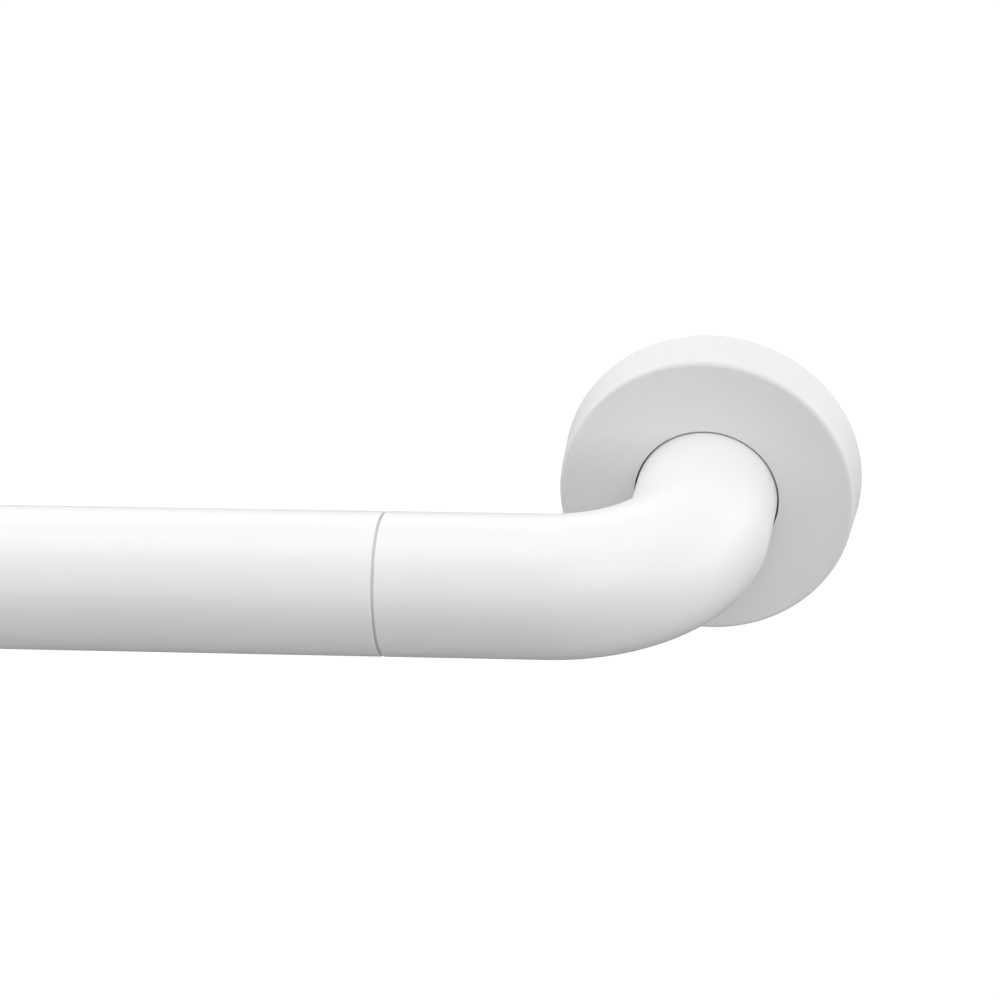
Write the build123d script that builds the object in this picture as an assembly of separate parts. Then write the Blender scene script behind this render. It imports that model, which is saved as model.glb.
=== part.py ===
from build123d import *
import os
from math import radians, tan

# Wall grab bar: a white polyamide grip tube and two moulded elbows on a bent steel core.
# Each leg stands on a steel wall plate, which a clipped-on rose covers.
# X runs along the bar, Y points into the wall and Z points up.
# The origin lies on the wall, midway between the two legs. Sizes are in millimetres.

# Bar
fixing_centres = 600.0  # between the axes of the two legs
tube_diameter = 33.0  # outside of the grip tube and the elbows
hand_gap = 44.5  # clear space between the grip tube and the wall
bend_radius = 30.5  # of each elbow, to the middle of the tube
elbow_socket = 37.5  # straight stretch of each elbow, from its bend to the seam
sleeve_wall = 3.9  # of the grip tube and the elbows
seam_gap = 0.6  # width of the groove around each seam
seam_depth = 0.9
seam_bevel = 0.15  # on both edges of that groove
register_length = 8.0  # spigot of the elbow inside the end of the grip tube
register_clearance = 0.1

# Steel core and the plugs in its ends
core_wall = 2.0
core_clearance = 0.1  # around the core, in the sleeve and in the wall plate
plug_clearance = 0.05
plug_setback = 6.0  # from the inner end of the plug to the bend
plug_chamfer = 1.0

# Countersunk bolts between the wall plates and the plugs
bolt_diameter = 8.0
bolt_length = 20.0
bolt_inset = 0.2  # of the head below the back of the plate
bolt_clearance = 0.1
bolt_end_chamfer = 0.8
hex_size = 5.0  # across the flats of the socket
hex_depth = 2.5

# Wall plates
plate_seat = 1.0  # depth of the recess that centres the core
plate_land = 0.8  # straight hole between the bolt's head and that recess
plate_chamfer = 0.6
wall_hole_diameter = 6.5
wall_hole_count = 3
screw_head_diameter = 12.5  # mouth of each countersink
screw_land = 1.0  # on both sides of each countersink
groove_width = 2.4  # around the rim of the plate
groove_depth = 0.8

# Roses
rose_height = 14.0
rose_wall = 2.4
rose_draft = 2.5  # degrees
rose_edge_round = 1.2
rose_bore_clearance = 0.4
rose_gap = 1.6  # between the rim of the plate and the rose
lug_count = 4
lug_arc = 20.0  # degrees
lug_clearance = 0.15
rib_count = 6
rib_thickness = 1.6

# Sizes that follow from these
tube_radius = tube_diameter / 2
bore_radius = tube_radius - sleeve_wall
core_radius = bore_radius - core_clearance
core_bore_radius = core_radius - core_wall
register_radius = (bore_radius + tube_radius) / 2
bolt_radius = bolt_diameter / 2
bolt_head_radius = bolt_diameter
bolt_neck_height = bolt_inset + bolt_head_radius - bolt_radius
core_end_height = bolt_neck_height + plate_land
plate_thickness = core_end_height + plate_seat
screw_circle_radius = tube_radius + screw_land + screw_head_diameter / 2
plate_radius = screw_circle_radius + screw_head_diameter / 2 + screw_land
rose_radius = plate_radius + rose_gap + rose_wall
bar_height = hand_gap + tube_radius
bend_height = bar_height - bend_radius
seam_distance = bend_radius + elbow_socket
grip_length = fixing_centres - 2 * seam_distance

# Each end is modelled in the frame of its own leg: z stands off the wall along the leg,
# and x points along the bar, away from the grip tube. The left end is the right end turned by half a turn.
right_end = Plane(origin=(fixing_centres / 2, 0, 0), x_dir=(1, 0, 0), z_dir=(0, -1, 0))
left_end = Plane(origin=(-fixing_centres / 2, 0, 0), x_dir=(-1, 0, 0), z_dir=(0, -1, 0))


def cylinder(radius, low, high):
    """Cylinder on the leg's axis between two heights above the wall."""
    return Pos(0, 0, low) * extrude(Circle(radius), high - low)


def turned(*points):
    """Solid of revolution about the leg's axis, from its half section as radii and heights."""
    outline = Polyline(*[(radius, 0, height) for radius, height in points], close=True)
    return revolve(make_face(outline), Axis.Z)


def bent_rod(radius, route, bend):
    """Round rod along straight runs that are joined by bends."""
    path = FilletPolyline(*route, radius=bend)
    return sweep(Plane(path @ 0, z_dir=path % 0) * Circle(radius), path=path)


def grip_tube():
    """Straight sleeve with stepped ends, bored out at both ends for the elbows' spigots."""
    half = grip_length / 2
    tube = extrude(Circle(tube_radius), half - seam_gap / 2, both=True)
    tube = chamfer(tube.edges().filter_by(GeomType.CIRCLE), seam_bevel)
    tube += extrude(Circle(tube_radius - seam_depth), half, both=True)
    tube -= extrude(Circle(bore_radius), half, both=True)
    socket_radius = register_radius + register_clearance / 2
    socket_depth = register_length + register_clearance
    for low in (-half, half - socket_depth):
        tube -= cylinder(socket_radius, low, low + socket_depth)
    return Plane(origin=(0, -bar_height, 0), z_dir=(1, 0, 0)) * tube


def elbow():
    """Hollow bend from the wall plate to the seam, with a spigot that enters the grip tube."""
    foot = (0, 0, plate_thickness)
    corner = (0, 0, bar_height)
    shoulder = (-seam_distance + seam_gap / 2, 0, bar_height)
    seam = (-seam_distance, 0, bar_height)
    tip = (-seam_distance - register_length, 0, bar_height)
    body = bent_rod(tube_radius, [foot, corner, shoulder], bend_radius)
    body = chamfer(body.edges().filter_by(GeomType.CIRCLE).sort_by(Axis.X)[0], seam_bevel)
    land = Circle(tube_radius - seam_depth)
    body += Plane(origin=seam, z_dir=(1, 0, 0)) * extrude(land, seam_gap / 2)
    spigot = Circle(register_radius - register_clearance / 2)
    body += Plane(origin=tip, z_dir=(1, 0, 0)) * extrude(spigot, register_length)
    return body - bent_rod(bore_radius, [foot, corner, tip], bend_radius)


def steel_core():
    """One bent tube from the seat in the left wall plate to the seat in the right one."""
    leg = fixing_centres / 2
    route = [
        (-leg, -core_end_height, 0),
        (-leg, -bar_height, 0),
        (leg, -bar_height, 0),
        (leg, -core_end_height, 0),
    ]
    return bent_rod(core_radius, route, bend_radius) - bent_rod(core_bore_radius, route, bend_radius)


def core_plug():
    """Tapped plug, flush with the end of the core and chamfered where it is pressed in."""
    plug = cylinder(core_bore_radius - plug_clearance, core_end_height, bend_height - plug_setback)
    plug = chamfer(plug.edges().filter_by(GeomType.CIRCLE).sort_by(Axis.Z)[-1], plug_chamfer)
    return plug - cylinder(bolt_radius + bolt_clearance, core_end_height, bend_height)


def plate_bolt():
    """Countersunk bolt with a hexagon socket, its head at the wall."""
    bolt = turned(
        (0, bolt_inset),
        (bolt_head_radius, bolt_inset),
        (bolt_radius, bolt_neck_height),
        (bolt_radius, bolt_length - bolt_end_chamfer),
        (bolt_radius - bolt_end_chamfer, bolt_length),
        (0, bolt_length),
    )
    hexagon = RegularPolygon(hex_size / 2, 6, major_radius=False)
    return bolt - Pos(0, 0, bolt_inset) * extrude(hexagon, hex_depth)


def wall_plate():
    """Disc with a seat for the core, a grooved rim for the rose's lugs and countersunk wall holes."""
    groove_low = (plate_thickness - groove_width) / 2
    groove_high = (plate_thickness + groove_width) / 2
    hole_radius = bolt_radius + bolt_clearance
    plate = turned(
        (hole_radius + bolt_neck_height, 0),
        (plate_radius, 0),
        (plate_radius, groove_low),
        (plate_radius - groove_depth, groove_low),
        (plate_radius - groove_depth, groove_high),
        (plate_radius, groove_high),
        (plate_radius, plate_thickness - plate_chamfer),
        (plate_radius - plate_chamfer, plate_thickness),
        (bore_radius, plate_thickness),
        (bore_radius, core_end_height),
        (hole_radius, core_end_height),
        (hole_radius, bolt_neck_height),
    )
    wall_hole_radius = wall_hole_diameter / 2
    sink_radius = screw_head_diameter / 2
    sink_height = plate_thickness - sink_radius + wall_hole_radius
    hole = turned(
        (0, 0),
        (wall_hole_radius, 0),
        (wall_hole_radius, sink_height),
        (sink_radius, plate_thickness),
        (0, plate_thickness),
    )
    for place in PolarLocations(screw_circle_radius, wall_hole_count):
        plate -= place * hole
    return plate


def rose():
    """Moulded cover with a drafted rim, stiffening ribs under its face and lugs that clip into the plate."""
    under_face = rose_height - rose_wall
    slope = tan(radians(rose_draft))
    bore = tube_radius + rose_bore_clearance
    inside = rose_radius - rose_wall
    cover = turned(
        (rose_radius, 0),
        (rose_radius - slope * rose_height, rose_height),
        (bore, rose_height),
        (bore, under_face),
        (inside - slope * under_face, under_face),
        (inside, 0),
    )
    rim = cover.edges().filter_by(GeomType.CIRCLE).group_by(Axis.Z)[-1].sort_by(SortBy.RADIUS)[-1]
    cover = fillet(rim, rose_edge_round)

    rib_depth = (under_face - plate_thickness) / 2
    rib_length = inside - bore
    rib = Box(rib_length, rib_thickness, rib_depth, align=(Align.MIN, Align.CENTER, Align.MAX))
    for place in PolarLocations(bore, rib_count):
        cover += place * Pos(0, 0, under_face) * rib

    lug_tip = plate_radius - groove_depth + lug_clearance
    lug_low = (plate_thickness - groove_width) / 2 + lug_clearance
    lug_high = (plate_thickness + groove_width) / 2 - lug_clearance
    lug_root = inside + rose_wall / 2
    lug_section = Polyline(
        (lug_tip, 0, lug_low), (lug_root, 0, lug_low), (lug_root, 0, lug_high), (lug_tip, 0, lug_high), close=True
    )
    lug = revolve(make_face(lug_section), Axis.Z, lug_arc)
    for place in PolarLocations(0, lug_count, start_angle=45 - lug_arc / 2):
        cover += place * lug
    return cover


end_pieces = {
    "elbow": elbow(),
    "core_plug": core_plug(),
    "wall_plate": wall_plate(),
    "rose": rose(),
}
bolt = plate_bolt()

nodes = {
    "grip_tube": grip_tube(),
    "steel_core": steel_core(),
    "plate_bolts": Compound(children=[left_end * bolt, right_end * bolt]),
}
for side, place in (("left", left_end), ("right", right_end)):
    for name, piece in end_pieces.items():
        nodes[f"{side}_{name}"] = place * piece

os.makedirs("parts", exist_ok=True)
for name, piece in nodes.items():
    export_step(piece, f"parts/{name}.step")
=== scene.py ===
from math import cos, pi, radians, sin

import bmesh
import bpy
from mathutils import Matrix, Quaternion, Vector


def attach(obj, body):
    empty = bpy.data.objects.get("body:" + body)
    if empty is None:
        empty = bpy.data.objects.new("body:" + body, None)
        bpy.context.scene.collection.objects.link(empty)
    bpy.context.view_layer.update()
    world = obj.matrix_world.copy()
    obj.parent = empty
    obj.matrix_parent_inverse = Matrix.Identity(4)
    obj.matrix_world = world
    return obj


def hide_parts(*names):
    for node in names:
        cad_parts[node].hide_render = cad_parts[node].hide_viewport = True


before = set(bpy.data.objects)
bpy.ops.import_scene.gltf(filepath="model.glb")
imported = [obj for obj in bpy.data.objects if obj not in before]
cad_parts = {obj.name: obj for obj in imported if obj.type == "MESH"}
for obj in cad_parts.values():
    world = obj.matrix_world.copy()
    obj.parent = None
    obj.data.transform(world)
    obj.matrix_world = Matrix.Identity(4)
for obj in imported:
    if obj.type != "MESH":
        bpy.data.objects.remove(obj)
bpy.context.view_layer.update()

# White wall grab bar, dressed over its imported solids. Lengths are in metres and angles in degrees.

# Camera: it looks at a point just above the bar's axis, close to the right leg.
CAMERA_AIM = Vector((0.2596, -0.061, 0.0216))
CAMERA_DISTANCE = 1.1689
CAMERA_AZIMUTH = 9.924
CAMERA_ELEVATION = 25.869
CAMERA_ROLL = -3.471
CAMERA_LENS = 188.1
CAMERA_SENSOR = 36.0
CAMERA_CLIP = (0.01, 100.0)

# Studio
FLOOR_HEIGHT = -0.35
FLOOR_SIZE = 30.0
FLOOR_GREY = 0.42
FLOOR_PAINTED_GLOW = (0.55, 0.62, 1.0)  # glow where seen directly, under the bar, around it and far away: lower under the bar as painted shade, full white far away as painted light
FLOOR_NEAR = (0.15, 0.38)  # half widths of the ovals between which the first level becomes the second
FLOOR_OVAL = 0.45  # width of those ovals, as a share of their length along the bar
FLOOR_FAR = (1.6, 3.2)  # distances between which the second level becomes the third
SKY_LEVEL = 0.3  # of the light that the sky throws on the object
LAMP_DISTANCE = 4.0
# name, degrees round to the right, degrees up, width, height, watts, mirrored in gloss
LAMPS = (
    ("overhead_softbox", 0.0, 88.0, 5.0, 2.6, 61.0, True),
    ("left_softbox", -105.0, 30.0, 4.5, 2.7, 95.0, False),
    ("right_softbox", 107.0, 9.0, 6.0, 1.4, 91.0, False),
    ("front_softbox", 0.0, 7.0, 3.0, 1.1, 19.0, False),
    ("key_softbox", 36.0, 42.0, 2.7, 2.7, 38.0, True),
    ("back_softbox", -160.0, 35.0, 2.7, 2.7, 12.0, True),
)
# Painted reflection: a glowing card seen only in gloss, dark low down, that darkens the edges of the white
# parts
SURROUND_RADIUS = 8.0
SURROUND_TOP = 5.5
SURROUND_LIFT = 0.002  # above the floor
SURROUND_SIDES = 64
SURROUND_DARK = 0.08
SURROUND_FADE = (-0.42, 0.57)  # sines of the elevations between which it goes from dark to white

# Sleeves: the sizes of the solids that they stand for, with a deeper groove and rounder edges at the seams
LEG_OFFSET = 0.3
BAR_OUT = 0.061  # from the wall to the middle of the bar
FOOT_OUT = 0.006
BEND_RADIUS = 0.0305
TUBE_RADIUS = 0.0165
BORE_RADIUS = 0.0126
SEAM_OFFSET = 0.232
SEAM_GAP = 0.0006
SEAM_DEPTH = 0.0012
EDGE_ROUND = 0.00028
SOCKET_RADIUS = 0.0146
SOCKET_DEPTH = 0.0081
SPIGOT_RADIUS = 0.0145
SPIGOT_LENGTH = 0.008
SHARP_ANGLE = 50.0

# Facets of the sleeves
SIDES = 128
LEG_ROWS = 6
BEND_STEPS = 48
SOCKET_ROWS = 8
GRIP_ROWS = 25
ROUND_STEPS = 5
EDGE_MARGIN = 4  # edge radii between the last plain row and the groove

# Fine detail of the materials, with scales per metre
NOISE_RANGE = (0.3, 0.7)  # where most of a noise lies
PLASTIC_CLOUD_SCALE = 35.0
PLASTIC_CLOUD_SPREAD = 0.01
PLASTIC_GLOSS_SCALE = 120.0
PLASTIC_GLOSS_SPREAD = 0.03
PLASTIC_IOR = 1.5
STEEL_RING_SCALE = 2500.0
STEEL_RING_DEPTH = 3e-5
STEEL_CLOUD_SCALE = 90.0
STEEL_CLOUD_SPREAD = 0.06
STEEL_GLOSS_SCALE = 300.0
STEEL_GLOSS_SPREAD = 0.06

UP = Vector((0.0, 0.0, 1.0))
FRONT = Vector((0.0, -1.0, 0.0))


def node(tree, kind, inputs=None, **settings):
    """Adds a shader node. An input is a value or the output socket that feeds it."""
    made = tree.nodes.new(kind)
    for name, value in settings.items():
        setattr(made, name, value)
    for name, value in (inputs or {}).items():
        if isinstance(value, bpy.types.NodeSocket):
            tree.links.new(value, made.inputs[name])
        else:
            made.inputs[name].default_value = value
    return made


def math_node(tree, operation, first, second=0.0):
    return node(tree, "ShaderNodeMath", {0: first, 1: second}, operation=operation).outputs[0]


def noise(tree, vector, scale, detail):
    inputs = {"Vector": vector, "Scale": scale, "Detail": detail}
    return node(tree, "ShaderNodeTexNoise", inputs).outputs["Fac"]


def ramp(tree, value, limits, low, high, kind="LINEAR"):
    """Goes from low to high where the value goes from the first limit to the second."""
    inputs = {"Value": value, "From Min": limits[0], "From Max": limits[1], "To Min": low, "To Max": high}
    return node(tree, "ShaderNodeMapRange", inputs, interpolation_type=kind).outputs["Result"]


def around(tree, value, middle, spread):
    """Turns a noise into values on both sides of a middle one."""
    return ramp(tree, value, NOISE_RANGE, middle - spread, middle + spread)


def stretched(tree, vector, scale):
    return node(tree, "ShaderNodeMapping", {"Vector": vector, "Scale": scale}).outputs["Vector"]


def length(tree, vector):
    return node(tree, "ShaderNodeVectorMath", {0: vector}, operation="LENGTH").outputs["Value"]


def bump(tree, height, distance, normal=None):
    inputs = {"Height": height, "Distance": distance, "Strength": 1.0}
    if normal is not None:
        inputs["Normal"] = normal
    return node(tree, "ShaderNodeBump", inputs).outputs["Normal"]


def new_material(name):
    material = bpy.data.materials.new(name)
    material.use_nodes = True
    tree = material.node_tree
    tree.nodes.clear()
    place = node(tree, "ShaderNodeTexCoord").outputs["Object"]
    return material, tree, place


def close_material(tree, shader):
    node(tree, "ShaderNodeOutputMaterial", {"Surface": shader})


def white_plastic(name, grey, roughness, specular, grain, waves):
    """White polyamide with faint clouding and uneven gloss. Grain and waves are each a scale and a depth."""
    material, tree, place = new_material(name)
    cloud = noise(tree, place, PLASTIC_CLOUD_SCALE, 3.0)
    tint = around(tree, cloud, grey, PLASTIC_CLOUD_SPREAD)
    colour = node(tree, "ShaderNodeCombineColor", {"Red": tint, "Green": tint, "Blue": tint}).outputs["Color"]
    gloss = around(tree, noise(tree, place, PLASTIC_GLOSS_SCALE, 3.0), roughness, PLASTIC_GLOSS_SPREAD)
    grain_scale, grain_depth = grain
    skin = bump(tree, noise(tree, place, grain_scale, 2.0), grain_depth)
    wave_scale, wave_depth = waves
    surface = bump(tree, noise(tree, stretched(tree, place, wave_scale), 1.0, 1.0), wave_depth, skin)
    inputs = {"Base Color": colour, "Roughness": gloss, "Normal": surface}
    inputs |= {"IOR": PLASTIC_IOR, "Specular IOR Level": specular}
    shader = node(tree, "ShaderNodeBsdfPrincipled", inputs)
    close_material(tree, shader.outputs["BSDF"])
    return material


def steel(name, levels, roughness):
    """Steel with the fine rings that turning leaves around the axis of each leg."""
    material, tree, place = new_material(name)
    split = node(tree, "ShaderNodeSeparateXYZ", {"Vector": place})
    across = math_node(tree, "SUBTRACT", math_node(tree, "ABSOLUTE", split.outputs["X"]), LEG_OFFSET)
    flat = node(tree, "ShaderNodeCombineXYZ", {"X": across, "Y": split.outputs["Z"]}).outputs["Vector"]
    ring_place = node(tree, "ShaderNodeCombineXYZ", {"X": length(tree, flat)}).outputs["Vector"]
    rings = noise(tree, ring_place, STEEL_RING_SCALE, 3.0)
    tone = around(tree, noise(tree, place, STEEL_CLOUD_SCALE, 3.0), 1.0, STEEL_CLOUD_SPREAD)
    colour = node(tree, "ShaderNodeCombineColor")
    for channel, level in zip(("Red", "Green", "Blue"), levels):
        tree.links.new(math_node(tree, "MULTIPLY", tone, level), colour.inputs[channel])
    gloss = around(tree, noise(tree, place, STEEL_GLOSS_SCALE, 3.0), roughness, STEEL_GLOSS_SPREAD)
    inputs = {"Base Color": colour.outputs["Color"], "Metallic": 1.0, "Roughness": gloss}
    inputs["Normal"] = bump(tree, rings, STEEL_RING_DEPTH)
    shader = node(tree, "ShaderNodeBsdfPrincipled", inputs)
    close_material(tree, shader.outputs["BSDF"])
    return material


def seen_directly(tree):
    """One for camera, glossy and transmission rays, and zero for the light that falls on the object."""
    path = node(tree, "ShaderNodeLightPath").outputs
    seen = math_node(tree, "MAXIMUM", path["Is Camera Ray"], path["Is Glossy Ray"])
    return math_node(tree, "MAXIMUM", seen, path["Is Transmission Ray"])


def direction(azimuth, elevation):
    """Unit vector from the object, as degrees round from the front to the right and above the horizon."""
    round_by, up_by = radians(azimuth), radians(elevation)
    return Vector((sin(round_by) * cos(up_by), -cos(round_by) * cos(up_by), sin(up_by)))


def dress(material, *names):
    for name in names:
        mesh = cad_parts[name].data
        mesh.materials.clear()
        mesh.materials.append(material)


def spaced(first, last, count):
    return [first + (last - first) * i / (count - 1) for i in range(count)]


def seam_edge(end, outward):
    """Rounded edge beside the groove at a seam, then the groove's wall, as places along the bar and radii."""
    corner = end - outward * EDGE_ROUND
    rows = [(corner - outward * EDGE_ROUND, TUBE_RADIUS)]
    for angle in spaced(0.0, pi / 2, ROUND_STEPS + 1):
        rows.append((corner + outward * EDGE_ROUND * sin(angle), TUBE_RADIUS - EDGE_ROUND * (1 - cos(angle))))
    rows.append((end, TUBE_RADIUS - SEAM_DEPTH))
    return rows


def bar_ring(place, radius):
    """Ring around the bar's own axis, as its middle, the direction of its first point and its radius."""
    return Vector((place, -BAR_OUT, 0.0)), FRONT, radius


def grip_rings():
    """Rings over the outside of the grip tube, round its right end, through its bore and round its left."""
    shoulder = SEAM_OFFSET - SEAM_GAP / 2
    run = shoulder - EDGE_MARGIN * EDGE_ROUND
    inner = SEAM_OFFSET - SOCKET_DEPTH
    right = seam_edge(shoulder, 1)
    right += [(SEAM_OFFSET, TUBE_RADIUS - SEAM_DEPTH), (SEAM_OFFSET, SOCKET_RADIUS)]
    right += [(inner, SOCKET_RADIUS), (inner, BORE_RADIUS)]
    left = [(-place, radius) for place, radius in reversed(right)]
    outside = [(place, TUBE_RADIUS) for place in spaced(-run, run, GRIP_ROWS)]
    return [bar_ring(place, radius) for place, radius in outside + right + left]


def bend_rings(side, radius):
    """Rings from the foot of a leg, round its bend, as far as the straight stretch beside the bar."""
    leg = side * LEG_OFFSET
    turn = Vector((leg - side * BEND_RADIUS, BEND_RADIUS - BAR_OUT, 0.0))
    outward = Vector((side, 0.0, 0.0))
    rings = [(Vector((leg, -out, 0.0)), outward, radius) for out in spaced(FOOT_OUT, -turn.y, LEG_ROWS)]
    for angle in spaced(0.0, pi / 2, BEND_STEPS + 1)[1:]:
        across = cos(angle) * outward + sin(angle) * FRONT
        rings.append((turn + BEND_RADIUS * across, across, radius))
    return rings


def elbow_rings(side):
    """Rings over the outside of an elbow to the seam, round its spigot and back through its bore."""
    shoulder = side * (SEAM_OFFSET + SEAM_GAP / 2)
    seam = side * SEAM_OFFSET
    tip = side * (SEAM_OFFSET - SPIGOT_LENGTH)
    rise = side * (LEG_OFFSET - BEND_RADIUS)
    run = spaced(rise, shoulder + side * EDGE_MARGIN * EDGE_ROUND, SOCKET_ROWS)[1:]
    rows = [(place, TUBE_RADIUS) for place in run] + seam_edge(shoulder, -side)
    rows += [(seam, TUBE_RADIUS - SEAM_DEPTH), (seam, SPIGOT_RADIUS)]
    rows += [(tip, SPIGOT_RADIUS), (tip, BORE_RADIUS)]
    outside = bend_rings(side, TUBE_RADIUS) + [bar_ring(place, radius) for place, radius in rows]
    return outside + bend_rings(side, BORE_RADIUS)[::-1]


def make_sleeve(name, rings, material, node_name):
    """Closed skin through a loop of rings, which stands for a CAD node with fewer facets."""
    points = []
    for middle, across, radius in rings:
        for k in range(SIDES):
            angle = 2 * pi * k / SIDES
            points.append(middle + radius * (cos(angle) * across + sin(angle) * UP))
    faces = []
    for i in range(len(rings)):
        here, after = i * SIDES, (i + 1) % len(rings) * SIDES
        for k in range(SIDES):
            m = (k + 1) % SIDES
            faces.append((here + k, here + m, after + m, after + k))
    mesh = bpy.data.meshes.new(name)
    mesh.from_pydata(points, [], faces)
    shape = bmesh.new()
    shape.from_mesh(mesh)
    bmesh.ops.recalc_face_normals(shape, faces=shape.faces)
    shape.to_mesh(mesh)
    shape.free()
    mesh.shade_smooth()
    mesh.set_sharp_from_angle(angle=radians(SHARP_ANGLE))
    mesh.materials.append(material)
    sleeve = bpy.data.objects.new(name, mesh)
    bpy.context.scene.collection.objects.link(sleeve)
    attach(sleeve, "root")
    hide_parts(node_name)


def make_camera():
    back = direction(CAMERA_AZIMUTH, CAMERA_ELEVATION)
    data = bpy.data.cameras.new("camera")
    data.sensor_width = CAMERA_SENSOR
    data.lens = CAMERA_LENS
    data.clip_start, data.clip_end = CAMERA_CLIP
    camera = bpy.data.objects.new("camera", data)
    camera.location = CAMERA_AIM + back * CAMERA_DISTANCE
    camera.rotation_mode = "QUATERNION"
    level = (-back).to_track_quat("-Z", "Y")
    camera.rotation_quaternion = level @ Quaternion((0, 0, 1), radians(CAMERA_ROLL))
    bpy.context.scene.collection.objects.link(camera)
    bpy.context.scene.camera = camera


def make_floor():
    """Pale floor that keeps the bar's faint shadow, with a glow seen directly that is weaker under the bar
    (painted shade) and rises to white further away (painted light where the lamps fall off).
    """
    half = FLOOR_SIZE / 2
    corners = [(-half, -half, 0), (half, -half, 0), (half, half, 0), (-half, half, 0)]
    mesh = bpy.data.meshes.new("floor")
    mesh.from_pydata(corners, [], [(0, 1, 2, 3)])
    floor = bpy.data.objects.new("floor", mesh)
    floor.location = (0, 0, FLOOR_HEIGHT)
    bpy.context.scene.collection.objects.link(floor)
    material, tree, place = new_material("floor")
    matt = node(tree, "ShaderNodeBsdfDiffuse", {"Color": (FLOOR_GREY, FLOOR_GREY, FLOOR_GREY, 1.0)})
    # Painted shade and light: the glow is weaker in an oval under the bar and rises to full white far away,
    # where the lamps fall off.
    under, beside, away = FLOOR_PAINTED_GLOW
    oval = stretched(tree, place, (FLOOR_OVAL, 1.0, 1.0))
    near = ramp(tree, length(tree, oval), FLOOR_NEAR, under, beside, "SMOOTHSTEP")
    far = ramp(tree, length(tree, place), FLOOR_FAR, 0.0, away - beside, "SMOOTHSTEP")
    level = math_node(tree, "MULTIPLY", seen_directly(tree), math_node(tree, "ADD", near, far))
    glow = node(tree, "ShaderNodeEmission", {"Strength": level})
    both = node(tree, "ShaderNodeAddShader", {0: matt.outputs["BSDF"], 1: glow.outputs["Emission"]})
    close_material(tree, both.outputs["Shader"])
    mesh.materials.append(material)


def make_sky():
    world = bpy.data.worlds.new("studio")
    world.use_nodes = True
    tree = world.node_tree
    tree.nodes.clear()
    level = ramp(tree, seen_directly(tree), (0.0, 1.0), SKY_LEVEL, 1.0)
    sky = node(tree, "ShaderNodeBackground", {"Color": (1.0, 1.0, 1.0, 1.0), "Strength": level})
    node(tree, "ShaderNodeOutputWorld", {"Surface": sky.outputs["Background"]})
    bpy.context.scene.world = world


def make_lamps():
    for name, azimuth, elevation, width, height, watts, mirrored in LAMPS:
        data = bpy.data.lights.new(name, "AREA")
        data.shape = "RECTANGLE"
        data.size = width
        data.size_y = height
        data.energy = watts
        lamp = bpy.data.objects.new(name, data)
        towards_lamp = direction(azimuth, elevation)
        lamp.location = towards_lamp * LAMP_DISTANCE
        lamp.rotation_mode = "QUATERNION"
        lamp.rotation_quaternion = (-towards_lamp).to_track_quat("-Z", "Y")
        lamp.visible_glossy = mirrored
        bpy.context.scene.collection.objects.link(lamp)


def make_surround():
    """Glowing card around the object, dark below and white above, seen only in gloss: a painted reflection
    that darkens the edges of white parts so that they show.
    """
    low = FLOOR_HEIGHT + SURROUND_LIFT
    points = [(0.0, 0.0, low)]
    for height in (low, SURROUND_TOP):
        for i in range(SURROUND_SIDES):
            angle = 2 * pi * i / SURROUND_SIDES
            points.append((SURROUND_RADIUS * cos(angle), SURROUND_RADIUS * sin(angle), height))
    faces = []
    for i in range(SURROUND_SIDES):
        j = (i + 1) % SURROUND_SIDES
        faces.append((0, 1 + i, 1 + j))
        faces.append((1 + i, 1 + j, 1 + SURROUND_SIDES + j, 1 + SURROUND_SIDES + i))
    mesh = bpy.data.meshes.new("surround")
    mesh.from_pydata(points, [], faces)
    surround = bpy.data.objects.new("surround", mesh)
    surround.visible_camera = False
    surround.visible_diffuse = False
    surround.visible_shadow = False
    surround.visible_transmission = False
    bpy.context.scene.collection.objects.link(surround)
    material, tree, place = new_material("surround")
    way = node(tree, "ShaderNodeVectorMath", {0: place}, operation="NORMALIZE").outputs["Vector"]
    rise = node(tree, "ShaderNodeSeparateXYZ", {"Vector": way}).outputs["Z"]
    level = ramp(tree, rise, SURROUND_FADE, SURROUND_DARK, 1.0, "SMOOTHSTEP")
    glow = node(tree, "ShaderNodeEmission", {"Strength": level})
    close_material(tree, glow.outputs["Emission"])
    mesh.materials.append(material)


extruded = white_plastic(
    "extruded_polyamide",
    grey=0.89,
    roughness=0.32,
    specular=0.5,
    grain=(1800.0, 2.5e-5),
    waves=((3.0, 600.0, 600.0), 5e-5),
)
moulded = white_plastic(
    "moulded_polyamide",
    grey=0.89,
    roughness=0.32,
    specular=0.5,
    grain=(1100.0, 3e-5),
    waves=((150.0, 150.0, 150.0), 4e-5),
)
# The roses are the same polyamide as the sleeves, given a darker grey: painted shade on the rose faces.
satin_with_painted_shade = white_plastic(
    "satin_polyamide_painted_shade",
    grey=0.82,
    roughness=0.42,
    specular=0.2,
    grain=(3200.0, 6e-5),
    waves=((120.0, 120.0, 120.0), 3e-5),
)
plated = steel("zinc_plated_steel", levels=(0.78, 0.79, 0.81), roughness=0.54)
turned = steel("turned_steel", levels=(0.64, 0.65, 0.67), roughness=0.4)

make_sleeve("grip_sleeve", grip_rings(), extruded, "grip_tube")
make_sleeve("left_elbow_sleeve", elbow_rings(-1), moulded, "left_elbow")
make_sleeve("right_elbow_sleeve", elbow_rings(1), moulded, "right_elbow")
dress(satin_with_painted_shade, "left_rose", "right_rose")
dress(plated, "left_wall_plate", "right_wall_plate", "steel_core")
dress(turned, "plate_bolts", "left_core_plug", "right_core_plug")

make_camera()
make_floor()
make_sky()
make_lamps()
make_surround()
bpy.context.scene.view_settings.view_transform = "Standard"
